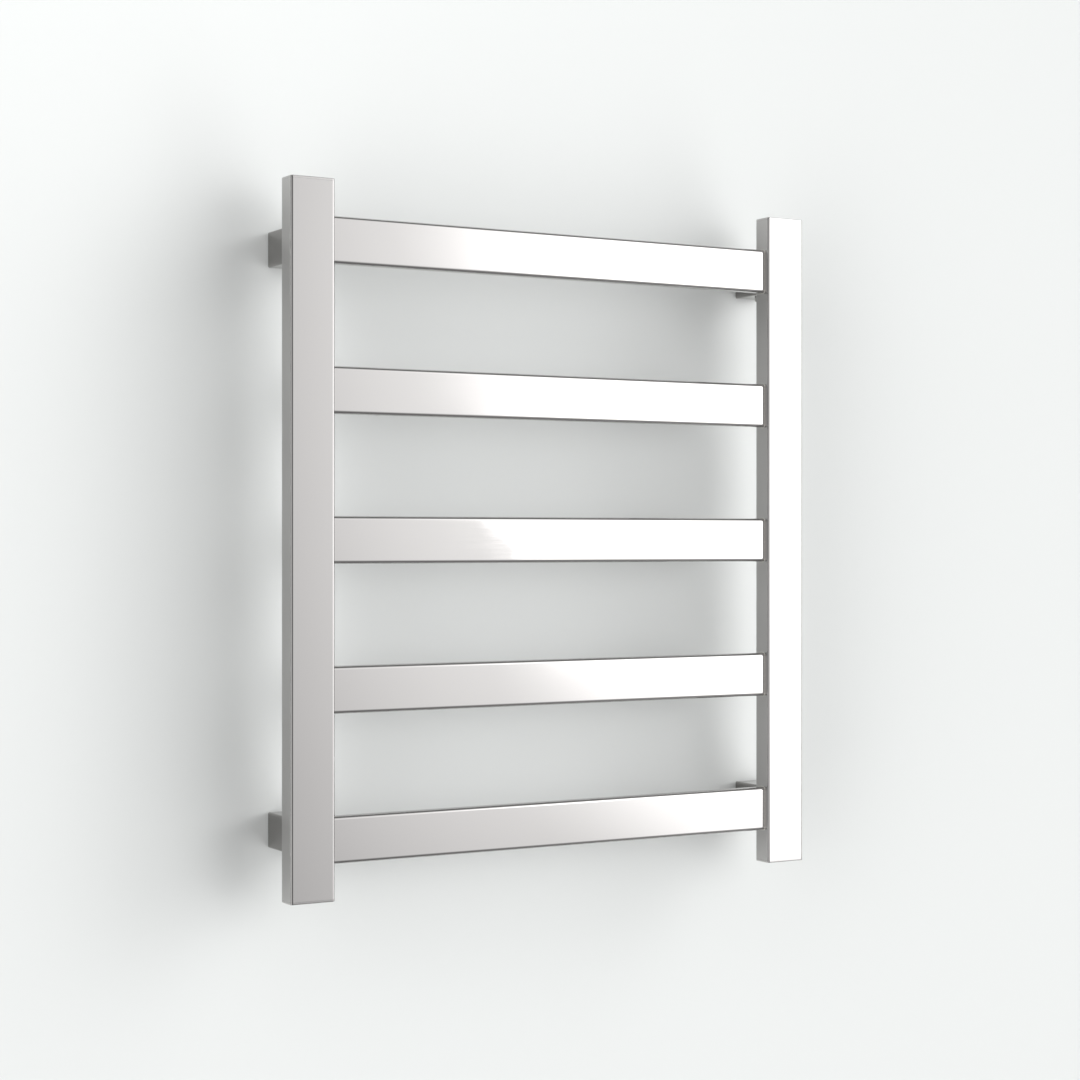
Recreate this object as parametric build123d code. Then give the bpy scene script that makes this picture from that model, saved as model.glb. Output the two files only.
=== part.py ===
"""Wall-hung electric towel warmer: a welded ladder of flat steel tubes on four hidden wall posts.

Millimetres. The origin is on the wall plane, in the middle of the four wall screws.
+X runs along the rungs, +Y runs into the wall and +Z is up.
"""

from build123d import *
import os

# ---- overall sizes ----
overall_width = 520.0
overall_height = 600.0
projection = 60.0  # wall plane to the front faces of the uprights

# ---- uprights: rectangular tube, its wide side to the front ----
upright_width = 40.0
upright_depth = 20.0
upright_wall = 1.5
upright_corner = 2.0  # outside corner radius

# ---- rungs: flat tube, in the middle of the uprights' depth ----
rung_count = 5
rung_height = 40.0
rung_depth = 10.0
rung_wall = 1.2
rung_corner = 3.0
rung_end_margin = 30.0  # end of an upright to the nearest edge of the outer rung
cope = 1.0  # how far a rung's end runs on before it is cut to the upright's outside
overcut = 1.0  # how far a cutting tool runs on past the face that it leaves

# ---- end caps ----
cap_thickness = 2.0
cap_skirt_depth = 8.0
cap_skirt_wall = 1.5
cap_fit = 0.2  # gap between the skirt and the inside of the tube
cap_edge = 0.6  # rounding of the cap's outer edge

# ---- bracket sleeves, welded to the backs of the uprights ----
sleeve_size = 30.0
sleeve_wall = 2.5
sleeve_corner = 1.5
sleeve_end_margin = 40.0  # end of an upright to the nearest side of the sleeve
sleeve_wall_gap = 0.5  # between the sleeve and the wall plane

# ---- wall posts, one inside each sleeve ----
post_fit = 0.3  # sliding gap on every side of a post
post_front_gap = 10.0  # from the post's front end to the back of the upright
post_edge = 2.0
post_lead_in = 1.5
screw_hole_radius = 2.5
screw_head_radius = 4.5
screw_offset = 5.0  # wall screw from the post's axis, away from the rack's middle
lead_bore_radius = 3.75

# ---- set screws that lock the sleeves to the posts ----
set_screw_radius = 2.5
set_screw_length = 6.0
set_screw_tip_gap = 0.3
hex_socket_radius = 1.45
hex_socket_depth = 2.5
thread_fit = 0.05

# ---- supply grommet in the back of the left upright ----
grommet_bore_radius = 3.2
grommet_neck_radius = 4.4
grommet_flange_radius = 5.5
grommet_flange = 1.0
grommet_fit = 0.1
grommet_sleeve_gap = 1.5  # from the grommet's flange to the inside of the sleeve

# ---- heating cable, one length through all five rungs ----
cable_diameter = 4.5
cable_wall_gap = 2.0  # from the cable to the outer wall of an upright
cable_slot_height = 26.0
cable_slot_gap = 0.75  # each side of the cable where it passes through an upright's wall
cable_entry_bend = 25.0  # bend past the supply grommet, and bend out of the cut-out
cable_bend_share = 0.45  # every other bend's radius, as a share of the rung pitch
cable_tail = 70.0  # run down the right upright from the top rung to the cable's end
seal_radius = 3.2
seal_length = 18.0
seal_overlap = 12.0
seal_fit = 0.1

# ---- thermal cut-out, in line at the start of the cable ----
cutout_width = 12.0
cutout_depth = 12.0
cutout_height = 20.0
cutout_corner = 1.5
cutout_grip = 6.0  # length of cable held in the cut-out
cutout_cable_gap = 3.0  # straight cable between the cut-out and the first bend
inner_gap = 0.5  # between the back wall of the upright and what lies on it

# ---- three-way terminal block under the cut-out ----
way_count = 3
way_pitch = 6.0
block_depth = 10.0
block_height = 16.0
block_base = 3.0  # back of the block to the axis of its brass inserts
block_corner = 1.0
block_cable_gap = 1.5  # from the long run of heating cable to the block
core_run = 8.0  # length of the loose cores between block and cut-out
core_radius = 0.8
core_grip = 4.0
insert_radius = 2.1
insert_bore_radius = 1.2
insert_recess = 1.0
insert_fit = 0.05
clamp_screw_radius = 1.0
clamp_head_radius = 1.5
clamp_head_height = 1.6
clamp_well_radius = 1.8
clamp_screw_spacing = 8.0

# ---- earth tab, welded inside the left upright ----
tab_width = 6.3
tab_thickness = 0.8
tab_foot = 8.0
tab_blade = 12.0
tab_rise = 15.5  # top of the tab above the supply grommet

# ---- places that follow from those sizes ----
front_y = -projection
upright_back_y = front_y + upright_depth
upright_mid_y = front_y + upright_depth / 2
upright_x = (overall_width - upright_width) / 2
upright_inner_x = overall_width / 2 - upright_width
rung_mid_y = upright_mid_y
rung_span = overall_height - 2 * rung_end_margin - rung_height
rung_pitch = rung_span / (rung_count - 1)
rung_levels = [-rung_span / 2 + i * rung_pitch for i in range(rung_count)]
sleeve_z = overall_height / 2 - sleeve_end_margin - sleeve_size / 2
sleeve_length = -upright_back_y - sleeve_wall_gap
sleeve_bore = sleeve_size - 2 * sleeve_wall
post_size = sleeve_bore - 2 * post_fit
post_length = -upright_back_y - post_front_gap
lead_offset = sleeve_bore / 2 - grommet_flange_radius - grommet_sleeve_gap
lead_x = -upright_x
lead_z = -sleeve_z + lead_offset
inner_back_y = upright_back_y - upright_wall
cable_radius = cable_diameter / 2
cable_x = overall_width / 2 - upright_wall - cable_wall_gap - cable_radius
cable_bend = cable_bend_share * rung_pitch
cable_y = min(rung_mid_y, inner_back_y - seal_radius - seal_fit)  # the end seal clears the back wall
block_width = way_count * way_pitch
block_x = -cable_x + cable_radius + block_cable_gap + block_width / 2
block_back_y = inner_back_y - inner_gap
cutout_top = rung_levels[1] - cable_entry_bend - cutout_cable_gap
cutout_bottom = cutout_top - cutout_height
block_top = cutout_bottom - core_run
block_z = block_top - block_height / 2
insert_y = block_back_y - block_base
way_xs = [block_x + (i - (way_count - 1) / 2) * way_pitch for i in range(way_count)]

corners = {
    "top_left": (-1, 1),
    "top_right": (1, 1),
    "bottom_left": (-1, -1),
    "bottom_right": (1, -1),
}


def plane_y(y):
    """A sketch plane across the Y axis: its x is +X, its y is +Z and its normal is -Y."""
    return Plane(origin=(0, y, 0), x_dir=(1, 0, 0), z_dir=(0, -1, 0))


def plane_x(x):
    """A sketch plane across the X axis: its x is +Y, its y is +Z and its normal is +X."""
    return Plane(origin=(x, 0, 0), x_dir=(0, 1, 0), z_dir=(1, 0, 0))


def rounded(width, height, radius):
    """A rectangle with rounded corners, or a plain one where the radius has gone."""
    if radius <= 0:
        return Rectangle(width, height)
    return RectangleRounded(width, height, radius)


def tube_section(width, height, corner, wall):
    """The cut face of a rectangular tube."""
    inside = rounded(width - 2 * wall, height - 2 * wall, corner - wall)
    return rounded(width, height, corner) - inside


def bar_y(radius, x, z, y_back, y_front):
    """A round bar along Y, from its back end to its front end."""
    section = plane_y(y_back) * Pos(x, z) * Circle(radius)
    return extrude(section, amount=y_back - y_front)


def bar_z(radius, x, y, z_low, z_high):
    """A round bar along Z."""
    return extrude(Pos(x, y, z_low) * Circle(radius), amount=z_high - z_low)


def write(name, shape):
    export_step(shape, f"parts/{name}.step")


def upright_envelope(side):
    """The outside of an upright as a solid bar, which the rung ends are fitted to."""
    section = rounded(upright_width, upright_depth, upright_corner)
    place = Pos(side * upright_x, upright_mid_y, -overall_height / 2)
    return extrude(place * section, amount=overall_height)


def cable_slot(side, level):
    """The slot through an upright's inner wall that lets the heating cable into a rung."""
    slot = SlotOverall(cable_slot_height, cable_diameter + 2 * cable_slot_gap, rotation=90)
    inner_face = side * upright_inner_x
    section = plane_x(inner_face - upright_wall) * Pos(rung_mid_y, level) * slot
    return extrude(section, amount=2 * upright_wall)


def upright(side):
    """One upright tube, as long as the rack less its two caps."""
    length = overall_height - 2 * cap_thickness
    section = tube_section(upright_width, upright_depth, upright_corner, upright_wall)
    tube = extrude(Pos(side * upright_x, upright_mid_y, -length / 2) * section, amount=length)
    for level in rung_levels:
        tube -= cable_slot(side, level)
    if side < 0:
        hole_radius = grommet_neck_radius + grommet_fit
        back = upright_back_y + upright_wall
        tube -= bar_y(hole_radius, lead_x, lead_z, back, inner_back_y - upright_wall)
    return tube


def rung(level, envelopes):
    """One rung, its ends shaped to the sides and rounded corners of the uprights."""
    half = upright_inner_x + cope
    section = tube_section(rung_depth, rung_height, rung_corner, rung_wall)
    tube = extrude(plane_x(-half) * Pos(rung_mid_y, level) * section, amount=2 * half)
    for envelope in envelopes:
        tube -= envelope
    return tube


def cap(side, up):
    """A cap plate with a hollow skirt that locates it in the end of an upright."""
    plate = extrude(rounded(upright_width, upright_depth, upright_corner), amount=cap_thickness)
    top_edges = plate.edges().group_by(Axis.Z)[-1]
    plate = fillet(top_edges, cap_edge)
    inset = upright_wall + cap_fit
    skirt_width = upright_width - 2 * inset
    skirt_depth = upright_depth - 2 * inset
    skirt = tube_section(skirt_width, skirt_depth, upright_corner - inset, cap_skirt_wall)
    part = plate + extrude(skirt, amount=-cap_skirt_depth)
    if up < 0:
        part = part.mirror(Plane.XY)
    seat = up * (overall_height / 2 - cap_thickness)
    return Pos(side * upright_x, upright_mid_y, seat) * part


def sleeve(side, up):
    """A square sleeve on the back of an upright, drilled underneath for its set screw."""
    section = tube_section(sleeve_size, sleeve_size, sleeve_corner, sleeve_wall)
    place = plane_y(-sleeve_wall_gap) * Pos(side * upright_x, up * sleeve_z)
    tube = extrude(place * section, amount=sleeve_length)
    hole_radius = set_screw_radius + thread_fit
    hole_low = up * sleeve_z - sleeve_size / 2 - overcut
    hole_high = hole_low + sleeve_wall + 2 * overcut
    return tube - bar_z(hole_radius, side * upright_x, -post_length / 2, hole_low, hole_high)


def post(side, up):
    """A wall post: a block with a countersunk screw hole and a bore for the supply lead."""
    x = side * upright_x
    z = up * sleeve_z
    section = rounded(post_size, post_size, post_edge)
    block = extrude(plane_y(0) * Pos(x, z) * section, amount=post_length)
    front_edges = block.edges().group_by(Axis.Y)[0]
    block = chamfer(front_edges, post_lead_in)
    screw_z = z + up * screw_offset
    bore_front = -post_length - overcut
    block -= bar_y(screw_hole_radius, x, screw_z, overcut, bore_front)
    sink_depth = screw_head_radius - screw_hole_radius
    sink = Cone(screw_hole_radius, screw_head_radius, sink_depth)
    sink_y = -post_length + sink_depth / 2
    block -= Pos(x, sink_y, screw_z) * Rot(90, 0, 0) * sink
    return block - bar_y(lead_bore_radius, x, z - up * lead_offset, overcut, bore_front)


def set_screw(side, up):
    """A cone-point set screw that comes up through the underside of a sleeve."""
    tip = up * sleeve_z - post_size / 2 - set_screw_tip_gap
    tail = tip - set_screw_length
    shank = extrude(Circle(set_screw_radius), amount=set_screw_length)
    shank = chamfer(shank.edges().group_by(Axis.Z)[-1], set_screw_radius / 2)
    socket = extrude(RegularPolygon(hex_socket_radius, 6), amount=hex_socket_depth)
    return Pos(side * upright_x, -post_length / 2, tail) * (shank - socket)


def grommet():
    """A rubber ring that lines the hole where the supply lead enters the upright."""
    outer_y = upright_back_y + grommet_flange
    inner_y = inner_back_y - grommet_flange
    ring = bar_y(grommet_neck_radius, lead_x, lead_z, outer_y, inner_y)
    ring += bar_y(grommet_flange_radius, lead_x, lead_z, outer_y, upright_back_y)
    ring += bar_y(grommet_flange_radius, lead_x, lead_z, inner_back_y, inner_y)
    return ring - bar_y(grommet_bore_radius, lead_x, lead_z, outer_y + overcut, inner_y - overcut)


def cable_route():
    """Corners of the heating cable in the XZ plane, each with its bend radius."""
    low, second, middle, fourth, top = rung_levels
    start = (block_x, cutout_top - cutout_grip)
    corners_and_bends = [
        ((block_x, second), cable_entry_bend),
        ((cable_x, second), cable_bend),
        ((cable_x, low), cable_bend),
        ((-cable_x, low), cable_entry_bend),
        ((-cable_x, middle), cable_bend),
        ((cable_x, middle), cable_bend),
        ((cable_x, fourth), cable_bend),
        ((-cable_x, fourth), cable_bend),
        ((-cable_x, top), cable_bend),
        ((cable_x, top), cable_bend),
    ]
    end = (cable_x, top - cable_tail)
    points = [start] + [corner for corner, bend in corners_and_bends] + [end]
    return points, [bend for corner, bend in corners_and_bends]


def swept(points, radii, wire_radius):
    """A round wire along straight runs joined by tangent arcs."""
    path = FilletPolyline(*points, radius=radii)
    section = Plane(origin=path @ 0, z_dir=path % 0) * Circle(wire_radius)
    return sweep(section, path=path), path


def heating_cable():
    """One silicone heating cable that snakes through all the rungs."""
    flat_points, radii = cable_route()
    points = [(x, cable_y, z) for x, z in flat_points]
    cable, path = swept(points, radii, cable_radius)
    expected = Circle(cable_radius).area * path.length
    print("heating cable: length", round(path.length, 1), "mm, bends", [round(r, 1) for r in radii])
    print("heating cable: volume over section times length", round(cable.volume / expected, 4))
    return cable


def end_seal():
    """A closed silicone boot over the far end of the heating cable."""
    end_z = rung_levels[-1] - cable_tail
    high = end_z + seal_overlap
    boot = bar_z(seal_radius, cable_x, cable_y, high - seal_length, high)
    bore_low = end_z - seal_fit
    return boot - bar_z(cable_radius + seal_fit, cable_x, cable_y, bore_low, high + overcut)


def cutout():
    """The thermal cut-out, moulded in line between the cores and the heating cable."""
    section = rounded(cutout_width, cutout_depth, cutout_corner)
    centre_y = block_back_y - cutout_depth / 2
    body = extrude(Pos(block_x, centre_y, cutout_bottom) * section, amount=cutout_height)
    grip_low = cutout_top - cutout_grip
    bore_radius = cable_radius + seal_fit
    return body - bar_z(bore_radius, block_x, cable_y, grip_low, cutout_top + overcut)


def clamp_levels():
    """Heights of the two rows of clamping screws in the terminal block."""
    return [block_z - clamp_screw_spacing / 2, block_z + clamp_screw_spacing / 2]


def terminal_block():
    """The plastic body of the terminal block, open at both ends and at each screw."""
    centre_y = block_back_y - block_depth / 2
    body = Pos(block_x, centre_y, block_z) * Box(block_width, block_depth, block_height)
    body = fillet(body.edges().filter_by(Axis.Z), block_corner)
    bore_radius = insert_radius + insert_fit
    bore_low = block_top - block_height - overcut
    well_front = block_back_y - block_depth - overcut
    for x in way_xs:
        body -= bar_z(bore_radius, x, insert_y, bore_low, block_top + overcut)
        for z in clamp_levels():
            body -= bar_y(clamp_well_radius, x, z, insert_y, well_front)
    return body


def terminal_inserts():
    """The brass barrels that join the cores of the supply lead to those of the cable."""
    low = block_z - block_height / 2 + insert_recess
    high = block_top - insert_recess
    thread_radius = clamp_screw_radius + insert_fit
    thread_front = insert_y - insert_radius - overcut
    barrels = []
    for x in way_xs:
        barrel = bar_z(insert_radius, x, insert_y, low, high)
        barrel -= bar_z(insert_bore_radius, x, insert_y, low - overcut, high + overcut)
        for z in clamp_levels():
            barrel -= bar_y(thread_radius, x, z, insert_y, thread_front)
        barrels.append(barrel)
    return Compound(barrels)


def terminal_screws():
    """The small screws that clamp each core in its barrel."""
    screws = []
    head_back = insert_y - insert_radius
    for x in way_xs:
        for z in clamp_levels():
            shank_back = insert_y - insert_bore_radius + core_radius / 4
            shank = bar_y(clamp_screw_radius, x, z, shank_back, head_back)
            head = bar_y(clamp_head_radius, x, z, head_back, head_back - clamp_head_height)
            screws.append(shank + head)
    return Compound(screws)


def core_wires():
    """The three cores that fan out from the cut-out to the terminal block."""
    wires = []
    for x in way_xs:
        gather_x = block_x + (x - block_x) / 2
        points = [
            (x, insert_y, block_top - insert_recess - core_grip),
            (x, insert_y, block_top + core_run / 4),
            (gather_x, insert_y, cutout_bottom - core_run / 4),
            (gather_x, insert_y, cutout_bottom),
        ]
        if x == block_x:
            wires.append(bar_z(core_radius, x, insert_y, points[0][2], cutout_bottom))
        else:
            wire, _ = swept(points, core_radius * 2, core_radius)
            wires.append(wire)
    return Compound(wires)


def earth_tab():
    """A push-on blade for the earth core: a foot on the upright's inner wall and a blade."""
    wall_x = -upright_inner_x - upright_wall
    top = lead_z + tab_rise
    foot = Box(tab_thickness, tab_width, tab_foot, align=(Align.MAX, Align.CENTER, Align.MAX))
    blade = Box(tab_blade, tab_width, tab_thickness, align=(Align.MAX, Align.CENTER, Align.MAX))
    return Pos(wall_x, upright_mid_y, top) * (foot + blade)


def main():
    os.makedirs("parts", exist_ok=True)
    for name, side in (("left", -1), ("right", 1)):
        write(f"upright_{name}", upright(side))
    envelopes = [upright_envelope(side) for side in (-1, 1)]
    for number, level in enumerate(rung_levels, start=1):
        write(f"rung_{number}", rung(level, envelopes))
    for name, (side, up) in corners.items():
        write(f"end_cap_{name}", cap(side, up))
        write(f"bracket_sleeve_{name}", sleeve(side, up))
        write(f"wall_post_{name}", post(side, up))
    write("set_screws", Compound([set_screw(side, up) for side, up in corners.values()]))
    write("supply_grommet", grommet())
    write("heating_cable", heating_cable())
    write("cable_end_seal", end_seal())
    write("thermal_cutout", cutout())
    write("core_wires", core_wires())
    write("terminal_block", terminal_block())
    write("terminal_inserts", terminal_inserts())
    write("terminal_screws", terminal_screws())
    write("earth_tab", earth_tab())


main()
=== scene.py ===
# %% [markdown]
# # A towel warmer rack in polished stainless steel
#
# The rack is a ladder of flat steel tubes: two uprights, five rungs and four square sleeves that hold it
# off the wall on hidden posts. The CAD model comes first and fixes every size and place. This file reads
# that model as a frame and gives it the looks: tube walls, dressed welds, threads, finishes and light.
# Everything is in metres, in the CAD frame: +X along the rungs, +Y into the wall and +Z up.

# %% Load the frame
import math

import bmesh
import bpy
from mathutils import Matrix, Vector


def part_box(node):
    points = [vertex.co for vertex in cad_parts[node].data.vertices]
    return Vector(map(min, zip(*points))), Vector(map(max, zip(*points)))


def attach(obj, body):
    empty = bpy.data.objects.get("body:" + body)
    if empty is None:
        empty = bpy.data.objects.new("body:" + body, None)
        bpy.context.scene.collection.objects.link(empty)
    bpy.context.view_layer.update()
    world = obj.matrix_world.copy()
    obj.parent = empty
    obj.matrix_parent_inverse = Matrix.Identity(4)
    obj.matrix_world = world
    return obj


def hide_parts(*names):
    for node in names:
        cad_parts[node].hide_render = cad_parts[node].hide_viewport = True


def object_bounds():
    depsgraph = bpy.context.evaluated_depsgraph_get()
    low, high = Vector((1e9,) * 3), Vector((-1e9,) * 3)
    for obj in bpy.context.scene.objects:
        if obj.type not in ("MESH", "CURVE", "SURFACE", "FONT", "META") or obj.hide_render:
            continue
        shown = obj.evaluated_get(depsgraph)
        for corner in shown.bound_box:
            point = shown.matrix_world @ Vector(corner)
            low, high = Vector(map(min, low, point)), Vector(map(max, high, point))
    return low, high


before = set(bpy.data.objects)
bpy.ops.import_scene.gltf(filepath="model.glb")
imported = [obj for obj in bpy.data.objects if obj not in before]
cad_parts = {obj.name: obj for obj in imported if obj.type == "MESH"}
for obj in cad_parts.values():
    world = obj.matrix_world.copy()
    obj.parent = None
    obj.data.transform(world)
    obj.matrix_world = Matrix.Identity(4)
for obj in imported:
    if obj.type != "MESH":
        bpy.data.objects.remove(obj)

MM = 0.001
scene = bpy.context.scene
cad_box = [list(corner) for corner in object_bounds()]
print("CAD box in metres:", cad_box)

# %% [markdown]
# Nearly every size below is read off the CAD nodes, so the looks follow the model when it changes. A node's
# box gives its outer sizes. Wall thicknesses and corner radii can't be read from a box, so they are the
# usual ones for welded stainless tube, and are written here once.

# %% Sizes read off the frame
UPRIGHT_WALL = 1.5 * MM
UPRIGHT_CORNER = 2.0 * MM
RUNG_WALL = 1.2 * MM
RUNG_CORNER = 3.0 * MM
SLEEVE_WALL = 2.5 * MM
SLEEVE_CORNER = 1.5 * MM

corners = ["top_left", "top_right", "bottom_left", "bottom_right"]
rungs = sorted(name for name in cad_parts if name.startswith("rung_"))
upright_low, upright_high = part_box("upright_left")
rung_low, rung_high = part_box("rung_1")
rung_levels = [sum(corner.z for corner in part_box(name)) / 2 for name in rungs]
upright_width = upright_high.x - upright_low.x
upright_depth = upright_high.y - upright_low.y
upright_back = upright_high.y
inner_side = -upright_high.x
rung_pitch = rung_levels[1] - rung_levels[0]
rung_mid_y = (rung_low.y + rung_high.y) / 2
print("uprights", round(upright_width / MM, 1), "x", round(upright_depth / MM, 1), "mm")
print("rung levels in mm", [round(level / MM, 1) for level in rung_levels])

# %% [markdown]
# ## Camera
#
# The rack is seen from its left, at its own mid height, through a long lens that is held level. Keeping the
# camera level keeps the uprights parallel in the view.

# %% Camera
CAMERA_PLACE = (-0.986, -1.734, 0.0)
CAMERA_TURN = 29.88  # degrees to the right of straight at the wall
CAMERA_LENS = 73.67  # millimetres, on a 36 mm sensor

lens = bpy.data.cameras.new("camera")
lens.lens = CAMERA_LENS
lens.sensor_width = 36
camera = bpy.data.objects.new("camera", lens)
scene.collection.objects.link(camera)
camera.location = CAMERA_PLACE
camera.rotation_euler = (math.radians(90), 0, math.radians(-CAMERA_TURN))
scene.camera = camera
scene.view_settings.view_transform = "Standard"
print("camera", round(Vector(CAMERA_PLACE).length, 3), "m from the middle of the rack")

# %% [markdown]
# ## Two helpers that everything uses
#
# Colours are picked as sRGB hex values, the way a paint chart gives them, but shaders work in linear light,
# so one function turns the one into the other. The second function adds a node to any tree, whether it is a
# material, the world or a geometry tree, sets its properties, and fills its sockets with values or links.

# %% Colour and node helpers
def colour(hex_value):
    """An sRGB hex value as a linear colour with alpha."""
    parts = [int(hex_value[i : i + 2], 16) / 255 for i in (1, 3, 5)]
    linear = [p / 12.92 if p <= 0.04045 else ((p + 0.055) / 1.055) ** 2.4 for p in parts]
    return (*linear, 1.0)


def add(tree, kind, settings=None, inputs=None):
    """Adds a node, sets its properties, and fills its sockets with values or with links."""
    made = tree.nodes.new(kind)
    for name, value in (settings or {}).items():
        setattr(made, name, value)
    for socket, value in (inputs or {}).items():
        if isinstance(value, bpy.types.NodeSocket):
            tree.links.new(value, made.inputs[socket])
        else:
            made.inputs[socket].default_value = value
    return made


def finish_named(name):
    """A new material with an empty tree, ready for its nodes."""
    material = bpy.data.materials.new(name)
    material.use_nodes = True
    material.node_tree.nodes.clear()
    return material, material.node_tree


# %% [markdown]
# ## Stage
#
# The rack hangs on a painted wall over a pale floor. Neither belongs to the object. A wall would hide the
# rack from behind, so its back is see-through: the Geometry node's Backfacing value picks a transparent
# shader there, and the front stays solid paint.

# %% Wall and floor
WALL_GAP = 0.5 * MM  # between the posts and the paint, so that the two faces don't flicker
WALL_HALF_WIDTH = 1.5
WALL_TOP = 1.3
FLOOR_LEVEL = -0.95
FLOOR_HALF_WIDTH = 4.0
FLOOR_FRONT = -4.0
FLOOR_BACK = 3.0


def sheet_of(name, points, material):
    """One flat face of the stage."""
    mesh = bpy.data.meshes.new(name)
    mesh.from_pydata(points, [], [(0, 1, 2, 3)])
    mesh.materials.append(material)
    made = bpy.data.objects.new(name, mesh)
    scene.collection.objects.link(made)
    return made


wall_paint, tree = finish_named("matt white emulsion wall")
paint = add(tree, "ShaderNodeBsdfDiffuse", None, {"Color": colour("#E0E2E1")}).outputs[0]
clear = add(tree, "ShaderNodeBsdfTransparent").outputs[0]
behind = add(tree, "ShaderNodeNewGeometry").outputs["Backfacing"]
one_sided = add(tree, "ShaderNodeMixShader", None, {0: behind, 1: paint, 2: clear}).outputs[0]
add(tree, "ShaderNodeOutputMaterial", None, {"Surface": one_sided})

floor_paint, tree = finish_named("pale matt floor")
paint = add(tree, "ShaderNodeBsdfDiffuse", None, {"Color": colour("#E4E3E1")}).outputs[0]
add(tree, "ShaderNodeOutputMaterial", None, {"Surface": paint})

wall_y = cad_box[1][1] + WALL_GAP
wall_points = [
    (-WALL_HALF_WIDTH, wall_y, FLOOR_LEVEL),
    (WALL_HALF_WIDTH, wall_y, FLOOR_LEVEL),
    (WALL_HALF_WIDTH, wall_y, WALL_TOP),
    (-WALL_HALF_WIDTH, wall_y, WALL_TOP),
]
floor_points = [
    (-FLOOR_HALF_WIDTH, FLOOR_FRONT, FLOOR_LEVEL),
    (FLOOR_HALF_WIDTH, FLOOR_FRONT, FLOOR_LEVEL),
    (FLOOR_HALF_WIDTH, FLOOR_BACK, FLOOR_LEVEL),
    (-FLOOR_HALF_WIDTH, FLOOR_BACK, FLOOR_LEVEL),
]
wall = sheet_of("wall", wall_points, wall_paint)
floor = sheet_of("floor", floor_points, floor_paint)
for kind in ("visible_diffuse", "visible_glossy", "visible_shadow"):
    setattr(floor, kind, False)  # the room of light already holds what the floor sends back
print("wall faces", wall.data.polygons[0].normal[:], "and floor faces", floor.data.polygons[0].normal[:])

# %% [markdown]
# ## Light
#
# Polished steel has hardly any colour of its own: it shows the room. So the light is built as a room around
# the rack, in the world shader, worked out from each direction's bearing and height in degrees. Bearing 0 is
# straight out from the wall and 90 is along the wall to the right. Two broad windows stand far to the right
# and far to the left, so their light grazes the wall and leaves wide soft shadows beside the tubes. A few
# soft glows, each a bell curve over bearing and height, are enough for that. A studio hangs black flags so
# that its lamps light the wall but don't burn white lines into the steel. The Light Path node's glossy
# output does the same here: each glow has one strength for matt things and another for what steel mirrors.

# %% Soft glows of the room
GLOWS = [  # strength on matt things and in the steel, bearing and its spread, height and its spread
    (13.5, 1.6, 72.0, 7.0, 19.0, 19.0),  # the large window to the right
    (5.8, 0.5, 59.0, 9.0, -37.0, 16.0),  # what the floor under that window sends back
    (4.2, 0.25, -74.0, 15.0, -9.0, 45.0),  # the window along the wall to the left
    (0.3, 0.3, 22.0, 20.0, 32.0, 12.0),  # ceiling light over the near end of the right-hand wall
    (0.0, 0.9, -38.0, 14.0, 0.0, 18.0),  # the far side of the room, seen in the inside corners of the steel
    (0.0, 1.2, -60.0, 18.0, -28.0, 11.0),  # sunlit floor to the left, which the steel shows from above
]
ROOM_LIGHT = 0.05
ABOVE_AND_BELOW = 0.15  # floor and ceiling as the rungs' rounded edges mirror them
CEILING_LIGHT = 0.6
CEILING_MIRRORED = 0.2

world = bpy.data.worlds.new("studio room")
scene.world = world
world.use_nodes = True
tree = world.node_tree
tree.nodes.clear()
mirrored = add(tree, "ShaderNodeLightPath").outputs["Is Glossy Ray"]
toward = add(tree, "ShaderNodeTexCoord").outputs["Generated"]
axes = add(tree, "ShaderNodeSeparateXYZ", None, {0: toward}).outputs
outward = add(tree, "ShaderNodeMath", {"operation": "MULTIPLY"}, {0: axes[1], 1: -1.0}).outputs[0]
turn = add(tree, "ShaderNodeMath", {"operation": "ARCTAN2"}, {0: axes[0], 1: outward}).outputs[0]
bearing = add(tree, "ShaderNodeMath", {"operation": "DEGREES"}, {0: turn}).outputs[0]
rise = add(tree, "ShaderNodeMath", {"operation": "ARCSINE"}, {0: axes[2]}).outputs[0]
height = add(tree, "ShaderNodeMath", {"operation": "DEGREES"}, {0: rise}).outputs[0]


def for_matt_or_mirror(matt, mirror):
    """One value on matt things and another in what steel mirrors."""
    strengths = {"Value": mirrored, "To Min": matt, "To Max": mirror}
    return add(tree, "ShaderNodeMapRange", None, strengths).outputs[0]


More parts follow.
